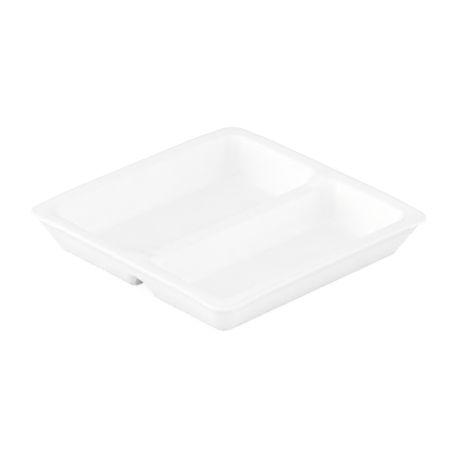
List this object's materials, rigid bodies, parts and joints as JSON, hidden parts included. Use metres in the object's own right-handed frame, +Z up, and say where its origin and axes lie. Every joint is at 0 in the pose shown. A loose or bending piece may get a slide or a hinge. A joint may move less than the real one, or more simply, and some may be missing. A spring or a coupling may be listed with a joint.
{
  "type": "divided serving bowl",
  "caption": "Square thick-walled serving bowl with a large and a small compartment, a lipped rim and a grooved divider that dips below the rim.",
  "frame": {"origin": "under the middle of the bowl, on the surface that it stands on", "axes": "+Z up, +X along the divider, +Y from the small compartment to the large one"},
  "size_m": [0.22, 0.22, 0.0355],
  "materials": {
    "rim": "matt",
    "wall": "matt",
    "floor": "matt",
    "divider": "matt"
  },
  "bodies": {
    "root": {"rim_lip": "rim", "rim_top": "rim", "large_compartment_wall": "wall", "small_compartment_wall": "wall", "large_compartment_floor": "floor", "small_compartment_floor": "floor", "divider_ridge": "divider", "left_divider_end": "divider", "right_divider_end": "divider"}
  },
  "joints": []
}
